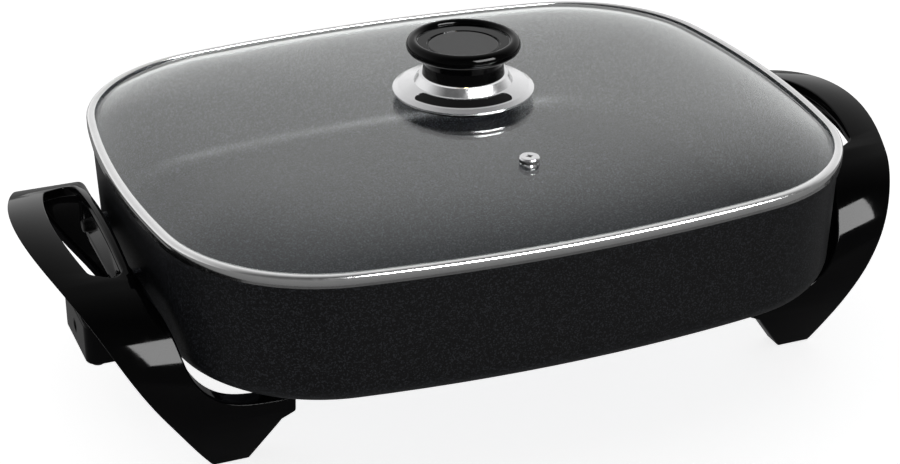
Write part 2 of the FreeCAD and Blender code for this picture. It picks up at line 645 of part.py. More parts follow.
def cut_control_openings(solid):
    front = CONTROL_NOSE_X - CONTROL_WALL - 1.0
    for side in (-1, 1):
        hole = rod(PIN_RADIUS + 0.5, front, CONTROL_NOSE_X + 1.0, side * PIN_SPREAD, CONTROL_AXIS_Z)
        solid = solid.cut(hole)
    solid = solid.cut(rod(PROBE_RADIUS + 0.05, front, CONTROL_NOSE_X + 1.0, 0, CONTROL_AXIS_Z))
    gland_hole = rod(GLAND_RADIUS - 1.5 + 0.05, CONTROL_OUTER_X - 1.0, CONTROL_OUTER_X + CONTROL_WALL + 1.0,
                     0, CONTROL_AXIS_Z)
    return solid.cut(gland_hole)


def control_screw_places():
    x = CONTROL_OUTER_X + CONTROL_CORNER
    return [(x, side * (CONTROL_HALF_WIDTH - CONTROL_CORNER)) for side in (-1, 1)]


def control_screws():
    screws = []
    seat = CONTROL_AXIS_Z - CONTROL_HALF_HEIGHT
    for x, y in control_screw_places():
        screw = pan_head_screw()
        screw = screw.common(disc(20.0, -20.0, CONTROL_HALF_HEIGHT * 2 - CONTROL_WALL - 0.5))
        screw.translate(vec(x, y, seat))
        screws.append(screw)
    return Part.makeCompound(screws)


def thermostat_block():
    x0 = CONTROL_SHOULDER_X - CONTROL_WALL - 1.0
    low = CONTROL_AXIS_Z - BLOCK_HALF_HEIGHT
    high = CONTROL_AXIS_Z + BLOCK_HALF_HEIGHT
    return box(x0 - BLOCK_DEPTH, x0, -BLOCK_HALF_WIDTH, BLOCK_HALF_WIDTH, low, high)


def block_face_x():
    return CONTROL_SHOULDER_X - CONTROL_WALL - 1.0


def probe_rod():
    shank = rod(PROBE_RADIUS, block_face_x(), PROBE_TIP_X, 0, CONTROL_AXIS_Z)
    tip = [e for e in shank.Edges if e.BoundBox.XMin > PROBE_TIP_X - 0.01]
    return shank.makeFillet(PROBE_RADIUS * 0.6, tip)


def contact_sleeves():
    sleeves = []
    bore = PIN_RADIUS + RUNNING_CLEARANCE
    mouth = CONTROL_NOSE_X - CONTROL_WALL - 0.3
    for side in (-1, 1):
        y = side * PIN_SPREAD
        sleeve = rod(bore + SLEEVE_WALL, block_face_x(), mouth, y, CONTROL_AXIS_Z)
        sleeves.append(sleeve.cut(rod(bore, PIN_TIP_X - 2.0, mouth + 1.0, y, CONTROL_AXIS_Z)))
    return Part.makeCompound(sleeves)


def pilot_lens():
    top = CONTROL_AXIS_Z + CONTROL_HALF_HEIGHT
    lens = disc(LENS_RADIUS, top - CONTROL_WALL, top + 1.2, DIAL_X, LENS_Y)
    crown = [e for e in lens.Edges if e.BoundBox.ZMin > top + 1.19]
    return lens.makeFillet(0.9, crown)


def cord_gland():
    # A bushed inlet in the end face: flange inside the shell, throat flush with the face.
    inner = CONTROL_OUTER_X + CONTROL_WALL
    throat = rod(GLAND_RADIUS - 1.5, CONTROL_OUTER_X, inner, 0, CONTROL_AXIS_Z)
    flange = rod(GLAND_RADIUS, inner, inner + 1.5, 0, CONTROL_AXIS_Z)
    bore = rod(GLAND_BORE, CONTROL_OUTER_X - 1.0, inner + 3.0, 0, CONTROL_AXIS_Z)
    return throat.fuse(flange).cut(bore).removeSplitter()


def control_dial():
    low = CONTROL_AXIS_Z + CONTROL_HALF_HEIGHT + DIAL_GAP
    high = low + DIAL_HEIGHT
    knob = Part.makeCone(DIAL_RADIUS, DIAL_RADIUS - 1.0, DIAL_HEIGHT, vec(DIAL_X, 0, low), UP)
    crown = [e for e in knob.Edges if e.BoundBox.ZMin > high - 0.01]
    knob = knob.makeFillet(1.2, crown)
    pitch = 360.0 / DIAL_GRIPS
    for number in range(DIAL_GRIPS):
        angle = math.radians((number + 0.5) * pitch)
        x = DIAL_X + (DIAL_RADIUS + 0.8) * math.cos(angle)
        y = (DIAL_RADIUS + 0.8) * math.sin(angle)
        knob = knob.cut(disc(1.8, low - 1.0, high + 1.0, x, y))
    pointer = box(DIAL_X - DIAL_RADIUS + 3.0, DIAL_X - 4.0, -0.8, 0.8, high - 0.8, high + 1.0)
    shaft = disc(DIAL_SHAFT_RADIUS, low - DIAL_GAP - CONTROL_WALL, low + 1.0, DIAL_X, 0)
    return knob.cut(pointer).fuse(shaft).removeSplitter()


# Lid

def dome(inset, drop, z0, fillet):
    crown = GLASS_CROWN_Z - drop
    radius = GLASS_DOME_RADIUS - drop
    block = plan_block(inset, z0, crown + 20.0)
    ball = Part.makeSphere(radius, vec(0, 0, GLASS_CROWN_Z - GLASS_DOME_RADIUS))
    solid = block.common(ball)
    rim = [e for e in solid.Edges if e.BoundBox.ZMin > z0 + 1.0 and e.BoundBox.ZLength < 8.0
           and max(e.BoundBox.XLength, e.BoundBox.YLength) > 30.0]
    return solid.makeFillet(fillet, rim)


def glass_height(x, y):
    reach = math.hypot(x, y)
    return GLASS_CROWN_Z - GLASS_DOME_RADIUS + math.sqrt(GLASS_DOME_RADIUS ** 2 - reach ** 2)


def glass_edge_inset():
    return RIM_SHEET + RIM_CLEARANCE


def lid_glass():
    outside = dome(GLASS_SHOULDER_INSET, 0.0, GLASS_EDGE_Z, GLASS_SHOULDER_FILLET)
    edge = plan_block(glass_edge_inset(), GLASS_EDGE_Z, GLASS_EDGE_Z + GLASS_THICKNESS)
    inside = dome(GLASS_SHOULDER_INSET + GLASS_THICKNESS, GLASS_THICKNESS, GLASS_EDGE_Z - 2.0,
                  GLASS_SHOULDER_FILLET - GLASS_THICKNESS)
    solid = outside.fuse(edge).cut(inside)
    solid = solid.cut(disc(KNOB_SCREW_RADIUS + 0.8, GLASS_EDGE_Z, GLASS_CROWN_Z + 5.0, KNOB_X, 0))
    return solid.cut(disc(VENT_BARREL_RADIUS + 0.1, GLASS_EDGE_Z, GLASS_CROWN_Z + 5.0, VENT_X, VENT_Y))


def lid_rim():
    outside = plan_block(0.0, RIM_BOTTOM_Z, RIM_TOP_Z)
    crown = [e for e in outside.Edges if e.BoundBox.ZMin > RIM_TOP_Z - 0.01]
    outside = outside.makeFillet(1.6, crown)
    opening = plan_block(RIM_FLANGE, RIM_BOTTOM_Z - 1.0, RIM_TOP_Z + 1.0)
    groove = plan_block(RIM_SHEET, GLASS_EDGE_Z - RIM_CLEARANCE, RIM_TOP_Z - RIM_SHEET)
    return outside.cut(groove).cut(opening)


def vent_seat_z():
    return glass_height(VENT_X, VENT_Y) + 0.1


def vent_gasket():
    low = vent_seat_z() - 0.6
    high = vent_seat_z() + VENT_GASKET
    ring = disc(VENT_FLANGE_RADIUS - 0.2, low, high, VENT_X, VENT_Y)
    ring = ring.cut(disc(VENT_BARREL_RADIUS + 0.05, low - 1.0, high + 1.0, VENT_X, VENT_Y))
    return ring.cut(dome(GLASS_SHOULDER_INSET, 0.0, GLASS_EDGE_Z, GLASS_SHOULDER_FILLET))


def vent_grommet():
    seat = vent_seat_z() + VENT_GASKET
    flange = disc(VENT_FLANGE_RADIUS, seat, seat + VENT_FLANGE, VENT_X, VENT_Y)
    crown = [e for e in flange.Edges if e.BoundBox.ZMin > seat + VENT_FLANGE - 0.01]
    flange = flange.makeFillet(VENT_FLANGE * 0.8, crown)
    low = glass_height(VENT_X, VENT_Y) - GLASS_THICKNESS - VENT_COLLAR - 0.5
    barrel = disc(VENT_BARREL_RADIUS, low, seat + 0.2, VENT_X, VENT_Y)
    points = []
    for number in range(8):
        reach = VENT_STAR_RADIUS if number % 2 == 0 else VENT_STAR_WAIST
        angle = math.radians(number * 45.0)
        points.append(vec(VENT_X + reach * math.cos(angle), VENT_Y + reach * math.sin(angle), low - 1.0))
    star = polygon_face(points).extrude(vec(0, 0, 20.0))
    return flange.fuse(barrel).removeSplitter().cut(star)


def vent_collar():
    # The rolled collar that traps the grommet under the glass.
    high = glass_height(VENT_X, VENT_Y) - GLASS_THICKNESS - 0.3
    low = high - VENT_COLLAR
    ring = disc(VENT_FLANGE_RADIUS - 0.6, low, high, VENT_X, VENT_Y)
    return ring.cut(disc(VENT_BARREL_RADIUS + 0.05, low - 1.0, high + 1.0, VENT_X, VENT_Y))


# Knob

def washer(radius, bore, z0, z1):
    return disc(radius, z0, z1, KNOB_X, 0).cut(disc(bore, z0 - 1.0, z1 + 1.0, KNOB_X, 0))


def window_prism(trim, z0, z1):
    # A kidney-shaped prism that follows the flange's edge.
    inner = WINDOW_INNER_RADIUS + trim
    outer = WINDOW_OUTER_RADIUS - trim
    middle = (inner + outer) / 2
    half = math.radians(WINDOW_HALF_ANGLE)

    def polar(radius, angle):
        return vec(radius * math.cos(angle), radius * math.sin(angle), z0)

    end_reach = (outer - inner) / 2
    tip = half + end_reach / middle
    edges = [Part.Arc(polar(outer, -half), polar(outer, 0), polar(outer, half)).toShape()]
    edges.append(Part.Arc(polar(outer, half), polar(middle, tip), polar(inner, half)).toShape())
    edges.append(Part.Arc(polar(inner, half), polar(inner, 0), polar(inner, -half)).toShape())
    edges.append(Part.Arc(polar(inner, -half), polar(middle, -tip), polar(outer, -half)).toShape())
    prism = Part.Face(Part.Wire(edges)).extrude(vec(0, 0, z1 - z0))
    prism.rotate(ORIGIN, UP, WINDOW_DIRECTION)
    prism.translate(vec(KNOB_X, 0, 0))
    return prism


def flange_profile(lower):
    # Shallow dish with a raised collar round the neck, as (radius, height) pairs.
    edge = FLANGE_EDGE_Z - lower
    collar = NECK_Z - lower
    return [(NECK_RADIUS - 6.0, collar), (NECK_RADIUS + 2.0, collar), (COLLAR_RADIUS, edge + FLANGE_RISE * 0.5),
            (WINDOW_OUTER_RADIUS + 1.0, edge + 1.6), (FLANGE_RADIUS, edge)]


def knob_flange():
    upper = flange_profile(0.0)
    under = flange_profile(FLANGE_SHEET)
    solid = revolve(upper + list(reversed(under)), KNOB_X)
    return solid.cut(window_prism(0.0, FLANGE_EDGE_Z - 5.0, NECK_Z + 5.0))


def knob_base():
    under = flange_profile(FLANGE_SHEET)
    profile = [(KNOB_SCREW_RADIUS + 0.5, KNOB_BASE_Z), (KNOB_BASE_RADIUS, KNOB_BASE_Z),
               (KNOB_BASE_RADIUS, under[2][1] - 0.1), (under[1][0] - 0.3, under[1][1]),
               (KNOB_SCREW_RADIUS + 0.5, under[1][1])]
    solid = revolve(profile, KNOB_X)
    upper = flange_profile(WINDOW_PAD_SINK)
    pad = revolve([(KNOB_BASE_RADIUS - 2.0, KNOB_BASE_Z + 1.0), (WINDOW_OUTER_RADIUS, KNOB_BASE_Z + 1.0),
                   (WINDOW_OUTER_RADIUS + 1.0, upper[3][1]), (COLLAR_RADIUS, upper[2][1]),
                   (KNOB_BASE_RADIUS - 2.0, upper[2][1])], KNOB_X)
    pad = pad.common(window_prism(WINDOW_PAD_CLEARANCE, KNOB_BASE_Z, NECK_Z + 5.0))
    bridge = washer(WINDOW_INNER_RADIUS + 1.5, KNOB_BASE_RADIUS - 2.0, KNOB_BASE_Z + 1.0, KNOB_BASE_Z + 2.5)
    return solid.fuse([bridge, pad]).removeSplitter()


def knob_neck():
    middle = (NECK_Z + CAP_Z) / 2
    profile = [(KNOB_BOSS_RADIUS, NECK_Z), (NECK_RADIUS, NECK_Z), (NECK_RADIUS - NECK_WAIST, middle),
               (NECK_RADIUS + NECK_WAIST, CAP_Z), (NECK_RADIUS - NECK_WALL, CAP_Z),
               (NECK_RADIUS - NECK_WALL, NECK_Z + NECK_WALL), (KNOB_BOSS_RADIUS, NECK_Z + NECK_WALL)]
    shell = revolve(profile, KNOB_X)
    boss = washer(KNOB_BOSS_RADIUS, INSERT_RADIUS + 0.05, NECK_Z, NECK_Z + INSERT_LENGTH)
    return shell.fuse(boss).removeSplitter()


def knob_insert():
    return washer(INSERT_RADIUS, KNOB_SCREW_RADIUS + 0.05, NECK_Z, NECK_Z + INSERT_LENGTH)


def knob_cap():
    ring_z = CAP_Z + CAP_RIM_RADIUS
    lip_centre = CAP_RADIUS - CAP_RIM_RADIUS
    low = vec(lip_centre, 0, ring_z - CAP_RIM_RADIUS)
    side = vec(CAP_RADIUS, 0, ring_z)
    high = vec(lip_centre, 0, ring_z + CAP_RIM_RADIUS)
    step = vec(CAP_FLAT_RADIUS - 0.9, 0, ring_z)
    shoulder = vec(lip_centre - 1.8, 0, ring_z + CAP_RIM_RADIUS * 0.78)
    edges = [Part.Arc(low, side, high).toShape()]
    edges.append(Part.Arc(high, shoulder, step).toShape())
    edges.append(Part.LineSegment(step, vec(0, 0, ring_z)).toShape())
    edges.append(Part.LineSegment(vec(0, 0, ring_z), vec(0, 0, CAP_Z)).toShape())
    edges.append(Part.LineSegment(vec(0, 0, CAP_Z), low).toShape())
    solid = Part.Face(Part.Wire(edges)).revolve(ORIGIN, UP, 360)
    solid.translate(vec(KNOB_X, 0, 0))
    seat = CENTRE_DISC_RADIUS + CENTRE_GROOVE
    return solid.cut(disc(seat, ring_z - CENTRE_DISC, ring_z + 1.0, KNOB_X, 0))


def knob_centre_disc():
    ring_z = CAP_Z + CAP_RIM_RADIUS
    plate = disc(CENTRE_DISC_RADIUS, ring_z - CENTRE_DISC, ring_z - 0.2, KNOB_X, 0)
    crown = [e for e in plate.Edges if e.BoundBox.ZMin > ring_z - 0.21]
    return plate.makeFillet(0.5, crown)


def inner_washer_z():
    return GLASS_CROWN_Z - GLASS_THICKNESS - WASHER_GAP


def knob_screw():
    seat = inner_washer_z() - INNER_WASHER
    head = disc(SCREW_HEAD_RADIUS + 0.8, seat - 3.0, seat, KNOB_X, 0)
    rim = [e for e in head.Edges if e.BoundBox.ZMax < seat - 2.99]
    head = head.makeFillet(1.6, rim)
    shank = disc(KNOB_SCREW_RADIUS, seat - 0.2, NECK_Z + INSERT_LENGTH - 1.0, KNOB_X, 0)
    drive = box(KNOB_X - 4.0, KNOB_X + 4.0, -0.6, 0.6, seat - 4.0, seat - 1.8)
    return head.fuse(shank).removeSplitter().cut(drive)


def build():
    os.makedirs("parts", exist_ok=True)
    handle = right_handle()
    grips = grip_screws()
    legs = leg_screws()
    save(pan(), "pan")
    save(element_tube(ELEMENT_RADIUS), "heating_element")
    save(pin_pair(PIN_RADIUS, PIN_TIP_X, ELEMENT_END_X), "terminal_pins")
    save(terminal_bushes(), "terminal_bushes")
    save(pin_guard(), "pin_guard")
    save(guard_rivets(), "guard_rivets")
    save(handle, "right_handle")
    save(mirrored(handle, ALONG), "left_handle")
    save(grips, "right_grip_screws")
    save(mirrored(grips, ALONG), "left_grip_screws")
    save(legs, "right_leg_screws")
    save(mirrored(legs, ALONG), "left_leg_screws")
    save(control_upper_shell(), "control_upper_shell")
    save(control_lower_shell(), "control_lower_shell")
    save(control_screws(), "control_screws")
    save(thermostat_block(), "thermostat_block")
    save(probe_rod(), "probe_rod")
    save(contact_sleeves(), "contact_sleeves")
    save(pilot_lens(), "pilot_lens")
    save(cord_gland(), "cord_gland")
    save(control_dial(), "control_dial")
    save(lid_glass(), "lid_glass")
    save(lid_rim(), "lid_rim")
    save(vent_gasket(), "vent_gasket")
    save(vent_grommet(), "vent_grommet")
    save(vent_collar(), "vent_collar")
    save(washer(KNOB_WASHER_RADIUS, KNOB_SCREW_RADIUS + 0.5, GLASS_CROWN_Z, KNOB_BASE_Z), "knob_washer")
    save(knob_base(), "knob_base")
    save(knob_flange(), "knob_flange")
    save(knob_neck(), "knob_neck")
    save(knob_insert(), "knob_insert")
    save(knob_cap(), "knob_cap")
    save(knob_centre_disc(), "knob_centre_disc")
    save(washer(INNER_WASHER_RADIUS, KNOB_SCREW_RADIUS + 0.5, inner_washer_z() - INNER_WASHER,
                inner_washer_z()), "inner_washer")
    save(knob_screw(), "knob_screw")


build()
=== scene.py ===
# %% [markdown]
# Electric skillet: a coated cast pan on two moulded arch handles, under a loose glass lid.
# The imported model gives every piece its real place, so this lesson only adds surfaces and light.

# %% Load the frame
import json
import math

import bmesh
import bpy
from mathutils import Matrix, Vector

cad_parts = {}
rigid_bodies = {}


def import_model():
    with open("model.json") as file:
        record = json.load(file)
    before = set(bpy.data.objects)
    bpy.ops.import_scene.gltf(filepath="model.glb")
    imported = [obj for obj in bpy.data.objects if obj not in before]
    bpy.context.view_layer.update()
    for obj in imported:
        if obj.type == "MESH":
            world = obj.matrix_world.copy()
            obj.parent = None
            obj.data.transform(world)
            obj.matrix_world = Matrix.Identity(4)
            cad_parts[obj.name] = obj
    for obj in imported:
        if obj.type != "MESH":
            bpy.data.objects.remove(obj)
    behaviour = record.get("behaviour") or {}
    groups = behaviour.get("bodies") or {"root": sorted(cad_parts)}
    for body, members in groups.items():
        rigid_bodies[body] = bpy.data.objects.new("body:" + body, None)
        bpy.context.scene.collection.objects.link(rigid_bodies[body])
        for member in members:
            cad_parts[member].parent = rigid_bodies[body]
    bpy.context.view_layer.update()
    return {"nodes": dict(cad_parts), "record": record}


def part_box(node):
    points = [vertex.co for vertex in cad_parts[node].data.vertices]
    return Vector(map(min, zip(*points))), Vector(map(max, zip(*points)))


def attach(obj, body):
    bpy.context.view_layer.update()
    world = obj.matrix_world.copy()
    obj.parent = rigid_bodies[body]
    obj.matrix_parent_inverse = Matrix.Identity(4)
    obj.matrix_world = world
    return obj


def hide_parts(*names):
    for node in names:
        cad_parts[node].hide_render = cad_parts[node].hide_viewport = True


bpy.ops.object.select_all(action="SELECT")
bpy.ops.object.delete()
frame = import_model()
MM = 0.001
print("nodes", len(frame["nodes"]))

# %% [markdown]
# The camera is the photograph's own. Its height, turn and lens were worked out from the rim's
# outline and from points that match on the two mirrored handles, so it stands 1.29 m away and
# looks down at the pan with a long lens. A long lens keeps the far side of the rim almost as wide
# as the near side, as in the photograph.

# %% Camera
PHOTO_WIDTH = 900
SENSOR_MM = 36.0
FOCAL_PIXELS = 2133.0
CAMERA_TURN = -22.0
CAMERA_RISE = 26.6
CAMERA_REACH = 1.292
CAMERA_TARGET = Vector((-0.0054, 0.0, 0.0613))
CLIP_START = 0.05
CLIP_END = 30.0


def direction_to(turn_degrees, rise_degrees):
    # Turn is a compass turn from the front, and rise is the height above the table.
    turn, rise = math.radians(turn_degrees), math.radians(rise_degrees)
    level = math.cos(rise)
    return Vector((math.sin(turn) * level, -math.cos(turn) * level, math.sin(rise)))


def place_facing(item, aim, back, reach):
    item.location = aim + back * reach
    item.rotation_mode = "QUATERNION"
    item.rotation_quaternion = (-back).to_track_quat("-Z", "Y")


def add_camera():
    data = bpy.data.cameras.new("photo_camera")
    data.sensor_width = SENSOR_MM
    data.lens = FOCAL_PIXELS * SENSOR_MM / PHOTO_WIDTH
    data.clip_start = CLIP_START
    data.clip_end = CLIP_END
    camera = bpy.data.objects.new("photo_camera", data)
    bpy.context.collection.objects.link(camera)
    place_facing(camera, CAMERA_TARGET, direction_to(CAMERA_TURN, CAMERA_RISE), CAMERA_REACH)
    bpy.context.scene.camera = camera
    return camera


print("lens mm", round(add_camera().data.lens, 1))

# %% [markdown]
# Three small helpers serve the whole script: one turns a bmesh into an object, one starts a
# material, and one adds the node that stretches one range of numbers onto another.

# %% Helpers
WHITE = (1.0, 1.0, 1.0, 1.0)


def mesh_object(name, bm):
    mesh = bpy.data.meshes.new(name)
    bm.to_mesh(mesh)
    bm.free()
    made = bpy.data.objects.new(name, mesh)
    bpy.context.collection.objects.link(made)
    return made


def new_material(name):
    material = bpy.data.materials.new(name)
    material.use_nodes = True
    nodes = material.node_tree.nodes
    return material, nodes, material.node_tree.links, nodes["Principled BSDF"]


def new_range(nodes, taken=(0.0, 1.0), given=(0.0, 1.0)):
    stretch = nodes.new("ShaderNodeMapRange")
    stretch.inputs["From Min"].default_value = taken[0]
    stretch.inputs["From Max"].default_value = taken[1]
    stretch.inputs["To Min"].default_value = given[0]
    stretch.inputs["To Max"].default_value = given[1]
    return stretch


def new_mix(nodes, first=WHITE, second=WHITE):
    mix = nodes.new("ShaderNodeMix")
    mix.data_type = "RGBA"
    mix.inputs["A"].default_value = first
    mix.inputs["B"].default_value = second
    return mix


# %% [markdown]
# Gloss black plastic has almost no colour of its own: what the eye sees is the studio in it. The
# floor is white and glows a little, so that only a faint shadow is left. In a real studio, low
# black cards would keep it out of the gloss on the legs. Here the Light Path node tells a mirror's
# ray from the camera's and gives it a darker floor.

# %% Floor
FLOOR_SIZE = 12.0
FLOOR_WHITE = (0.85, 0.85, 0.85, 1.0)
FLOOR_IN_MIRRORS = (0.30, 0.30, 0.30, 1.0)
FLOOR_GLOW = 0.82
GLOW_IN_MIRRORS = 0.10
FLOOR_ROUGHNESS = 0.9
FLOOR_SPECULAR = 0.05


def add_floor():
    bm = bmesh.new()
    bmesh.ops.create_grid(bm, x_segments=1, y_segments=1, size=FLOOR_SIZE / 2)
    floor = mesh_object("studio_floor", bm)
    material, nodes, links, shader = new_material("studio_floor_paint")
    shader.inputs["Roughness"].default_value = FLOOR_ROUGHNESS
    shader.inputs["Specular IOR Level"].default_value = FLOOR_SPECULAR
    shader.inputs["Emission Color"].default_value = WHITE
    ray = nodes.new("ShaderNodeLightPath")
    glow = new_range(nodes, given=(FLOOR_GLOW, GLOW_IN_MIRRORS))
    links.new(ray.outputs["Is Glossy Ray"], glow.inputs["Value"])
    links.new(glow.outputs["Result"], shader.inputs["Emission Strength"])
    paint = new_mix(nodes, FLOOR_WHITE, FLOOR_IN_MIRRORS)
    links.new(ray.outputs["Is Glossy Ray"], paint.inputs["Factor"])
    links.new(paint.outputs["Result"], shader.inputs["Base Color"])
    floor.data.materials.append(material)


add_floor()
print("floor metres", FLOOR_SIZE)

# %% [markdown]
# The sky is the soft light. It is pale behind the pan, near the horizon, which makes the grey sheen
# on the glass and on the tops of the grips, and darker overhead and in front, which keeps the bends
# of the handles black. Two ranges, one for height and one for depth, are multiplied.

# %% Sky
SKY_HEIGHTS = (0.2, 0.95)
SKY_HEIGHT_LEVELS = (1.0, 0.42)
SKY_DEPTHS = (-0.3, 0.45)
SKY_DEPTH_LEVELS = (0.16, 1.0)


def add_world():
    world = bpy.data.worlds.new("studio_world")
    world.use_nodes = True
    bpy.context.scene.world = world
    nodes, links = world.node_tree.nodes, world.node_tree.links
    background = nodes["Background"]
    place = nodes.new("ShaderNodeTexCoord")
    split = nodes.new("ShaderNodeSeparateXYZ")
    links.new(place.outputs["Generated"], split.inputs["Vector"])
    height = new_range(nodes, SKY_HEIGHTS, SKY_HEIGHT_LEVELS)
    links.new(split.outputs["Z"], height.inputs["Value"])
    depth = new_range(nodes, SKY_DEPTHS, SKY_DEPTH_LEVELS)
    links.new(split.outputs["Y"], depth.inputs["Value"])
    both = nodes.new("ShaderNodeMath")
    both.operation = "MULTIPLY"
    links.new(height.outputs["Result"], both.inputs[0])
    links.new(depth.outputs["Result"], both.inputs[1])
    links.new(both.outputs["Value"], background.inputs["Strength"])
    background.inputs["Color"].default_value = WHITE
    return world


print("sky", add_world().name)

# %% [markdown]
# One bright card stands in front, to the right. Each handle mirrors it as a pale band across its
# bend, and that band tells the eye how round the handle is. The card is there only to be
# mirrored, so it lights no matt surface: the soft light on the floor comes from the sky.

# %% Card
CARD_TURN = 24.0
CARD_RISE = 32.0
CARD_REACH = 2.2
CARD_SIZE = (1.5, 1.0)
CARD_POWER = 135.0
CARD_AIM = Vector((0.0, 0.0, 0.08))


def add_card():
    data = bpy.data.lights.new("front_card", "AREA")
    data.shape = "RECTANGLE"
    data.size, data.size_y = CARD_SIZE
    data.energy = CARD_POWER
    card = bpy.data.objects.new("front_card", data)
    bpy.context.collection.objects.link(card)
    place_facing(card, CARD_AIM, direction_to(CARD_TURN, CARD_RISE), CARD_REACH)
    card.visible_diffuse = False
    return card


print("card", add_card().name)
bpy.context.scene.view_settings.view_transform = "Standard"

# %% [markdown]
# Several finishes share two small effects, and each effect is one node group. The fine grain
# breaks up a shine. The mottle lets a colour drift a little, because no real surface has exactly
# one colour.

# %% Shared effects
GRAIN_DETAIL = 4.0
GRAIN_SPREAD = (0.3, 0.7)


def new_group(name, inputs, outputs):
    group = bpy.data.node_groups.new(name, "ShaderNodeTree")
    for title, kind, value in inputs:
        socket = group.interface.new_socket(title, in_out="INPUT", socket_type=kind)
        socket.default_value = value
    for title, kind in outputs:
        group.interface.new_socket(title, in_out="OUTPUT", socket_type=kind)
    start = group.nodes.new("NodeGroupInput")
    end = group.nodes.new("NodeGroupOutput")
    return group, start, end


def add_noise(group, start):
    place = group.nodes.new("ShaderNodeTexCoord")
    noise = group.nodes.new("ShaderNodeTexNoise")
    group.links.new(place.outputs["Object"], noise.inputs["Vector"])
    group.links.new(start.outputs["Scale"], noise.inputs["Scale"])
    return noise


def make_grain_group():
    inputs = [("Scale", "NodeSocketFloat", 900.0), ("Low", "NodeSocketFloat", 0.1)]
    inputs += [("High", "NodeSocketFloat", 0.2)]
    outputs = [("Roughness", "NodeSocketFloat"), ("Height", "NodeSocketFloat")]
    group, start, end = new_group("fine_grain", inputs, outputs)
    noise = add_noise(group, start)
    noise.inputs["Detail"].default_value = GRAIN_DETAIL
    spread = new_range(group.nodes, GRAIN_SPREAD)
    group.links.new(noise.outputs["Fac"], spread.inputs["Value"])
    group.links.new(start.outputs["Low"], spread.inputs["To Min"])
    group.links.new(start.outputs["High"], spread.inputs["To Max"])
    group.links.new(spread.outputs["Result"], end.inputs["Roughness"])
    group.links.new(noise.outputs["Fac"], end.inputs["Height"])
    return group


def make_mottle_group():
    inputs = [("Scale", "NodeSocketFloat", 60.0), ("Dark", "NodeSocketColor", WHITE)]
    inputs += [("Pale", "NodeSocketColor", WHITE)]
    group, start, end = new_group("colour_mottle", inputs, [("Color", "NodeSocketColor")])
    noise = add_noise(group, start)
    mix = new_mix(group.nodes)
    group.links.new(noise.outputs["Fac"], mix.inputs["Factor"])
    group.links.new(start.outputs["Dark"], mix.inputs["A"])
    group.links.new(start.outputs["Pale"], mix.inputs["B"])
    group.links.new(mix.outputs["Result"], end.inputs["Color"])
    return group


GRAIN = make_grain_group()
MOTTLE = make_mottle_group()
print("shared effects", GRAIN.name, MOTTLE.name)

# %% Placing the effects
GRAIN_DEPTH = 0.02 * MM


def place_group(nodes, group, values):
    placed = nodes.new("ShaderNodeGroup")
    placed.node_tree = group
    for title, value in values.items():
        placed.inputs[title].default_value = value
    return placed


def add_grain(nodes, links, shader, scale, low, high, bump=0.0, depth=GRAIN_DEPTH):
    grain = place_group(nodes, GRAIN, {"Scale": scale, "Low": low, "High": high})
    links.new(grain.outputs["Roughness"], shader.inputs["Roughness"])
    if bump > 0:
        dent = nodes.new("ShaderNodeBump")
        dent.inputs["Strength"].default_value = bump
        dent.inputs["Distance"].default_value = depth
        links.new(grain.outputs["Height"], dent.inputs["Height"])
        links.new(dent.outputs["Normal"], shader.inputs["Normal"])


def add_mottle(nodes, links, shader, scale, dark, pale):
    mottle = place_group(nodes, MOTTLE, {"Scale": scale, "Dark": (*dark, 1.0), "Pale": (*pale, 1.0)})
    links.new(mottle.outputs["Color"], shader.inputs["Base Color"])


# %% [markdown]
# The handles and the knob are phenolic plastic, moulded in polished tools: deep black, mirror
# smooth, with only a faint haze. A slow, faint noise in the roughness keeps the shine alive.

# %% Gloss black plastic
PLASTIC_DARK = (0.0020, 0.0020, 0.0022)
PLASTIC_PALE = (0.0035, 0.0035, 0.0038)
PLASTIC_MOTTLE = 40.0
PLASTIC_SPECULAR = 0.10


def gloss_black():
    material, nodes, links, shader = new_material("gloss_black")
    add_mottle(nodes, links, shader, PLASTIC_MOTTLE, PLASTIC_DARK, PLASTIC_PALE)
    shader.inputs["Specular IOR Level"].default_value = PLASTIC_SPECULAR
    add_grain(nodes, links, shader, 220.0, 0.05, 0.085)
    return material


# %% [markdown]
# The pan's coat is sprayed and baked: near black, with a fine blue-grey speckle and a satin
# surface that is very slightly rough to the touch. The lining is painted up to eight times paler
# than
# the outside: painted light, standing in for the light that falls through the glass onto the floor
# and inner walls. Outside walls face away from the middle of the pan, and the floor and the inner
# walls don't, so the product of place and facing tells them apart.

# %% Speckled coat
COAT_DARK = (0.0055, 0.0057, 0.0066, 1.0)
COAT_SPECK = (0.025, 0.027, 0.032, 1.0)
COAT_SPECK_SCALE = 1500.0
COAT_SPECK_SHARE = (0.62, 1.0)
COAT_SPECULAR = 0.13
COAT_DENT_DEPTH = 0.04 * MM
LINING_PAINTED_LIGHT = 8.0
LINING_LIMIT = 0.02


# Picks the floor and inner walls, where the painted light is laid on.
def painted_light_mask(nodes, links, place):
    level = nodes.new("ShaderNodeVectorMath")
    level.operation = "MULTIPLY"
    level.inputs[1].default_value = (1.0, 1.0, 0.0)
    links.new(place.outputs["Object"], level.inputs[0])
    facing = nodes.new("ShaderNodeVectorMath")
    facing.operation = "DOT_PRODUCT"
    links.new(level.outputs["Vector"], facing.inputs[0])
    links.new(place.outputs["Normal"], facing.inputs[1])
    mask = nodes.new("ShaderNodeMath")
    mask.operation = "LESS_THAN"
    mask.inputs[1].default_value = LINING_LIMIT
    links.new(facing.outputs["Value"], mask.inputs[0])
    return mask.outputs["Value"]


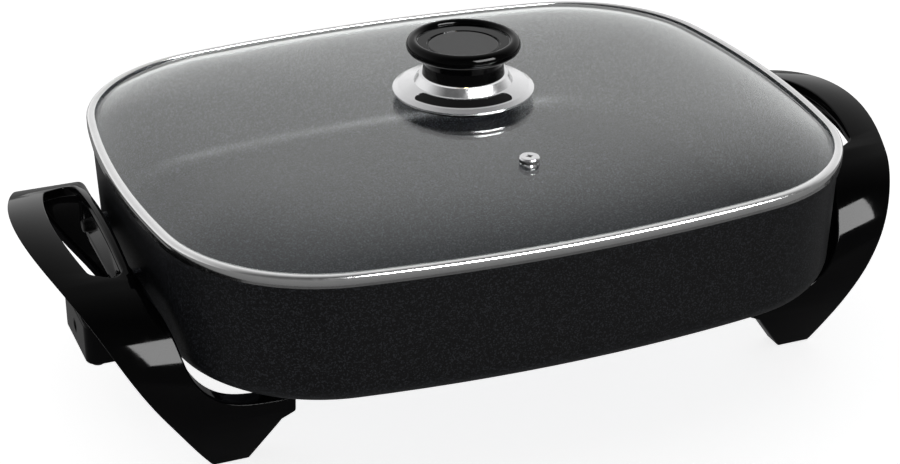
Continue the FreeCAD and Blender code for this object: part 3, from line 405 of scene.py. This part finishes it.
def speckled_coat():
    material, nodes, links, shader = new_material("speckled_coat")
    place = nodes.new("ShaderNodeTexCoord")
    specks = nodes.new("ShaderNodeTexVoronoi")
    specks.inputs["Scale"].default_value = COAT_SPECK_SCALE
    links.new(place.outputs["Object"], specks.inputs["Vector"])
    pick = nodes.new("ShaderNodeSeparateColor")
    links.new(specks.outputs["Color"], pick.inputs["Color"])
    bright = new_range(nodes, COAT_SPECK_SHARE)
    links.new(pick.outputs["Red"], bright.inputs["Value"])
    coat = new_mix(nodes, COAT_DARK, COAT_SPECK)
    links.new(bright.outputs["Result"], coat.inputs["Factor"])
    # Painted light: the floor and inner walls get a coat colour several times paler than the
    # outside.
    lift = new_range(nodes, given=(1.0, LINING_PAINTED_LIGHT))
    links.new(painted_light_mask(nodes, links, place), lift.inputs["Value"])
    painted_lining = new_mix(nodes)
    painted_lining.blend_type = "MULTIPLY"
    painted_lining.clamp_result = False
    painted_lining.inputs["Factor"].default_value = 1.0
    links.new(coat.outputs["Result"], painted_lining.inputs["A"])
    links.new(lift.outputs["Result"], painted_lining.inputs["B"])
    links.new(painted_lining.outputs["Result"], shader.inputs["Base Color"])
    shader.inputs["Specular IOR Level"].default_value = COAT_SPECULAR
    add_grain(nodes, links, shader, 1400.0, 0.36, 0.50, bump=0.35, depth=COAT_DENT_DEPTH)
    return material


# %% [markdown]
# Metals are told apart by colour and roughness: the lid's band is polished steel, the knob's
# flange is plated, hidden sheet is duller, and the screws are blackened.

# %% Metals
METAL_MOTTLE = 60.0
METAL_SHADE = 0.88


def metal(name, color, scale, low, high, bump=0.0):
    material, nodes, links, shader = new_material(name)
    shader.inputs["Metallic"].default_value = 1.0
    shade = tuple(part * METAL_SHADE for part in color)
    add_mottle(nodes, links, shader, METAL_MOTTLE, shade, color)
    add_grain(nodes, links, shader, scale, low, high, bump)
    return material


# %% [markdown]
# The lid is clear tempered glass. Over the dark pan it looks grey, because what shows is the pale
# sky behind, mirrored in its top face, and the pan's lining below.

# %% Glass
GLASS_TINT = (0.93, 0.96, 0.95, 1.0)
GLASS_IOR = 1.5


def clear_glass():
    material, nodes, links, shader = new_material("clear_glass")
    shader.inputs["Base Color"].default_value = GLASS_TINT
    shader.inputs["Transmission Weight"].default_value = 1.0
    shader.inputs["IOR"].default_value = GLASS_IOR
    add_grain(nodes, links, shader, 30.0, 0.0, 0.02)
    return material


# %% [markdown]
# Small parts have plain finishes: silicone washers, ceramic beads, the satin disc in the knob and
# the red lens of the pilot lamp. Each has its own two colours, grain size and roughness.

# %% Small finishes
PLAIN_GRAIN_RATIO = 6.0


def plain_finish(name, dark, pale, scale, low, high, bump=0.0):
    material, nodes, links, shader = new_material(name)
    add_mottle(nodes, links, shader, scale, dark, pale)
    add_grain(nodes, links, shader, scale * PLAIN_GRAIN_RATIO, low, high, bump)
    return material


CERAMIC = plain_finish("white_ceramic", (0.66, 0.63, 0.56), (0.78, 0.75, 0.68), 120.0, 0.5, 0.7, 0.2)
RED_LENS = plain_finish("red_lens", (0.42, 0.012, 0.008), (0.6, 0.03, 0.02), 80.0, 0.05, 0.1)
SILICONE = plain_finish("black_silicone", (0.010,) * 3, (0.018,) * 3, 200.0, 0.5, 0.65)
DISC_DARK = (0.030, 0.031, 0.032)
DISC_PALE = (0.040, 0.041, 0.042)
SATIN_DISC = plain_finish("satin_disc", DISC_DARK, DISC_PALE, 300.0, 0.40, 0.5, 0.1)

# %% [markdown]
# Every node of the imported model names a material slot, and this table gives each slot its finish.
# The knob's top and neck stay out of mirrors and lenses, so that the glass below doesn't show a
# second black knob.

# %% Finishes for the frame's own pieces
FINISHES = {
    "nonstick_coating": speckled_coat(),
    "element_steel": metal("dull_sheath", (0.36, 0.35, 0.34), 500.0, 0.3, 0.45, 0.2),
    "pin_metal": metal("plated_pin", (0.72, 0.71, 0.69), 500.0, 0.16, 0.26),
    "ceramic": CERAMIC,
    "guard_steel": metal("folded_sheet", (0.58, 0.58, 0.58), 700.0, 0.25, 0.4, 0.15),
    "fastener_steel": metal("blackened_screw", (0.05, 0.05, 0.05), 700.0, 0.28, 0.4),
    "handle_plastic": gloss_black(),
    "control_plastic": gloss_black(),
    "brass_parts": metal("turned_brass", (0.72, 0.56, 0.28), 600.0, 0.16, 0.28),
    "lens_red": RED_LENS,
    "soft_black": SILICONE,
    "lid_glass": clear_glass(),
    "rim_steel": metal("polished_band", (0.86, 0.86, 0.86), 400.0, 0.12, 0.20),
    "chrome_parts": metal("bright_plate", (0.86, 0.86, 0.87), 300.0, 0.16, 0.24),
    "matte_disc": SATIN_DISC,
}
OUT_OF_MIRRORS = ("knob_cap", "knob_centre_disc", "knob_neck")


def dress_nodes():
    slots = {row["node"]: row["material_slot"] for row in frame["record"]["subparts"]}
    for node, piece in frame["nodes"].items():
        piece.data.materials.clear()
        piece.data.materials.append(FINISHES[slots[node]])
    for node in OUT_OF_MIRRORS:
        frame["nodes"][node].visible_glossy = False
        frame["nodes"][node].visible_transmission = False
    print("dressed", len(slots))


dress_nodes()

# %% [markdown]
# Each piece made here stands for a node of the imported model. This helper hands it over: it rides
# on the same body, hides the node, and takes the finish of the node's slot.

# %% Handing over a piece


def hand_over(bm, name, body, node, slot):
    piece = mesh_object(name, bm)
    piece.data.materials.append(FINISHES[slot])
    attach(piece, body)
    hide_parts(node)
    print(name, "faces", len(piece.data.polygons))
    return piece


def finish_piece(bm, name, body, node, slot):
    bmesh.ops.recalc_face_normals(bm, faces=bm.faces)
    for face in bm.faces:
        face.smooth = True
    return hand_over(bm, name, body, node, slot)


# %% [markdown]
# The rim is not an oval. Two long arcs and two short arcs are joined by four corner arcs that touch
# them smoothly. A bent wire would do it in life; here one point is spun from arc to arc, and the
# quarter it leaves behind is mirrored twice. Any smaller ring is the same walk with less radius.

# %% Plan outline
HALF_LENGTH = 210.0 * MM
HALF_WIDTH = 173.0 * MM
LONG_SIDE_RADIUS = 865.0 * MM
SHORT_SIDE_RADIUS = 549.0 * MM
CORNER_RADIUS = 97.0 * MM
SIDE_STEPS = 14
CORNER_STEPS = 18
MERGE_REACH = 0.01 * MM
LONG_SIDE_CENTRE = (0.0, HALF_WIDTH - LONG_SIDE_RADIUS)
SHORT_SIDE_CENTRE = (HALF_LENGTH - SHORT_SIDE_RADIUS, 0.0)


def corner_centre():
    # The corner circle touches both side arcs from inside.
    across = LONG_SIDE_CENTRE[1]
    along = SHORT_SIDE_CENTRE[0]
    to_long = LONG_SIDE_RADIUS - CORNER_RADIUS
    to_short = SHORT_SIDE_RADIUS - CORNER_RADIUS
    span = math.hypot(along, across)
    reach = (to_long ** 2 - to_short ** 2 + span ** 2) / (2 * span)
    aside = math.sqrt(to_long ** 2 - reach ** 2)
    unit_x, unit_y = along / span, -across / span
    return reach * unit_x + aside * unit_y, across + reach * unit_y - aside * unit_x


def only(kind, items):
    return [item for item in items if isinstance(item, kind)]


def spin_point(bm, point, centre, turn, steps):
    spun = bmesh.ops.spin(bm, geom=[point], cent=(centre[0], centre[1], point.co.z), axis=(0, 0, 1),
                          angle=turn, steps=steps, use_merge=False)
    return only(bmesh.types.BMVert, spun["geom_last"])[0]


def plan_ring(bm, inset, height):
    # Draws one closed ring and returns its edges.
    known = set(bm.edges)
    corner = corner_centre()
    long_turn = math.atan2(corner[1] - LONG_SIDE_CENTRE[1], corner[0])
    short_turn = math.atan2(corner[1], corner[0] - SHORT_SIDE_CENTRE[0])
    point = bm.verts.new((HALF_LENGTH - inset, 0.0, height))
    point = spin_point(bm, point, SHORT_SIDE_CENTRE, short_turn, SIDE_STEPS)
    point = spin_point(bm, point, corner, long_turn - short_turn, CORNER_STEPS)
    point = spin_point(bm, point, LONG_SIDE_CENTRE, math.pi / 2 - long_turn, SIDE_STEPS)
    for axis in ("X", "Y"):
        edges = [edge for edge in bm.edges if edge not in known]
        points = list({end for edge in edges for end in edge.verts})
        bmesh.ops.mirror(bm, geom=points + edges, merge_dist=MERGE_REACH, axis=axis)
    return [edge for edge in bm.edges if edge not in known]


def bridge_rings(bm, rings):
    for ring, after in zip(rings, rings[1:]):
        bmesh.ops.bridge_loops(bm, edges=ring + after)


test = bmesh.new()
print("edges round the plan", len(plan_ring(test, 0.0, 0.0)))
test.free()

# %% [markdown]
# The lid's edge is a thin steel band, rolled over the glass: an upright skirt outside, a rounded
# shoulder, and a flat flange that grips the glass. The shoulder matters most, because it mirrors
# the dark above the camera and draws the fine dark line between two bright ones. The band is one
# section, given as pairs of inset and height, drawn as rings and bridged.

# %% Lid band
BAND_SHOULDER = 2.0 * MM
BAND_SHEET = 0.8 * MM
BAND_FLANGE = 5.0 * MM
BAND_LIP = 0.35 * MM
BAND_FOLD_INSET = 0.92 * MM
BAND_FOLD_DROP = 1.28 * MM
SHOULDER_STEPS = 6


def band_section(bottom, top):
    section = [(0.0, bottom)]
    for step in range(SHOULDER_STEPS + 1):
        turn = math.pi / 2 * step / SHOULDER_STEPS
        inset = BAND_SHOULDER * (1.0 - math.cos(turn))
        section.append((inset, top - BAND_SHOULDER * (1.0 - math.sin(turn))))
    section += [(BAND_FLANGE - BAND_LIP, top), (BAND_FLANGE, top - BAND_LIP)]
    section += [(BAND_FLANGE, top - BAND_SHEET), (BAND_SHOULDER, top - BAND_SHEET)]
    section += [(BAND_FOLD_INSET, top - BAND_FOLD_DROP), (BAND_SHEET, top - BAND_SHOULDER)]
    section += [(BAND_SHEET, bottom)]
    return section


def build_band():
    lowest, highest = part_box("lid_rim")
    bm = bmesh.new()
    rings = [plan_ring(bm, inset, height) for inset, height in band_section(lowest[2], highest[2])]
    bridge_rings(bm, rings + rings[:1])
    return finish_piece(bm, "rolled_lid_band", "lid", "lid_rim", "rim_steel")


build_band()

# %% [markdown]
# The lid's glass is sagged over a mould while hot, so it has one smooth crown that falls faster
# towards the edge, and a flat border that the band grips. The border is two bridged rings. The
# crown is the inner ring extruded again and again, each time scaled in and lifted, and its last
# ring is merged into the top. Solidify then gives the sheet its thickness.

# %% Lid glass
GLASS_EDGE_INSET = 0.9 * MM
GLASS_BORDER_INSET = 5.4 * MM
GLASS_FLAT_SHARE = 0.36
GLASS_EDGE_POWER = 9.0
GLASS_STEPS = 28
GLASS_STEP_POWER = 1.4
GLASS_THICKNESS = 4.0 * MM


def glass_height(share, crown, edge):
    fall = GLASS_FLAT_SHARE * share ** 2 + (1.0 - GLASS_FLAT_SHARE) * share ** GLASS_EDGE_POWER
    return crown - (crown - edge) * fall


def build_glass():
    lowest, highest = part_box("lid_glass")
    edge = lowest[2] + GLASS_THICKNESS
    crown = highest[2]
    bm = bmesh.new()
    border = [plan_ring(bm, inset, edge) for inset in (GLASS_EDGE_INSET, GLASS_BORDER_INSET)]
    bridge_rings(bm, border)
    ring, before, height = border[1], 1.0, edge
    for step in range(1, GLASS_STEPS + 1):
        share = 1.0 - (step / (GLASS_STEPS + 1)) ** GLASS_STEP_POWER
        made = bmesh.ops.extrude_edge_only(bm, edges=ring)["geom"]
        points = only(bmesh.types.BMVert, made)
        sides = only(bmesh.types.BMEdge, made)
        ring = [side for side in sides if all(end in points for end in side.verts)]
        bmesh.ops.scale(bm, vec=(share / before, share / before, 1.0), verts=points)
        lift = glass_height(share, crown, edge) - height
        bmesh.ops.translate(bm, vec=(0.0, 0.0, lift), verts=points)
        before, height = share, height + lift
    bmesh.ops.pointmerge(bm, verts=points, merge_co=(0.0, 0.0, crown))
    bmesh.ops.recalc_face_normals(bm, faces=bm.faces)
    faces = list(bm.faces)
    # Solidify grows the sheet away from the side that its faces look to, so they all look up.
    if sum(face.normal.z for face in faces) < 0:
        bmesh.ops.reverse_faces(bm, faces=faces)
    bmesh.ops.solidify(bm, geom=faces, thickness=GLASS_THICKNESS)
    piece = finish_piece(bm, "domed_glass", "lid", "lid_glass", "lid_glass")
    # Light reaches the pan straight through the glass. Traced as a lens it would be mostly noise.
    piece.visible_shadow = False
    piece.visible_diffuse = False
    return piece


build_glass()

# %% [markdown]
# A moulded handle has no knife edges: every rim leaves the tool with a small radius, and that
# radius is what catches the light as a thin line. The handle's own shape is copied from the
# frame, its flat faces are joined up again, and then only its sharp rims are rounded.

# %% Handles
RIM_ROUNDING = 1.1 * MM
RIM_SEGMENTS = 3
SHARP_EDGE = math.radians(38.0)
FLAT_ENOUGH = math.radians(0.4)


def rounded_copy(node, name, body, slot):
    bm = bmesh.new()
    bm.from_mesh(frame["nodes"][node].data)
    bmesh.ops.remove_doubles(bm, verts=bm.verts, dist=MERGE_REACH)
    bmesh.ops.dissolve_limit(bm, angle_limit=FLAT_ENOUGH, verts=bm.verts, edges=bm.edges)
    sharp = []
    for edge in bm.edges:
        if len(edge.link_faces) == 2 and edge.calc_face_angle(0.0) > SHARP_EDGE:
            sharp.append(edge)
    print(name, "sharp edges", len(sharp))
    bmesh.ops.bevel(bm, geom=sharp, offset=RIM_ROUNDING, segments=RIM_SEGMENTS, profile=0.5,
                    affect="EDGES", clamp_overlap=False, material=-1)
    for face in bm.faces:
        face.smooth = True
    for edge in bm.edges:
        edge.smooth = edge.calc_face_angle(0.0) < SHARP_EDGE
    return hand_over(bm, name, body, node, slot)


rounded_copy("right_handle", "right_arch_handle", "base", "handle_plastic")
rounded_copy("left_handle", "left_arch_handle", "base", "handle_plastic")
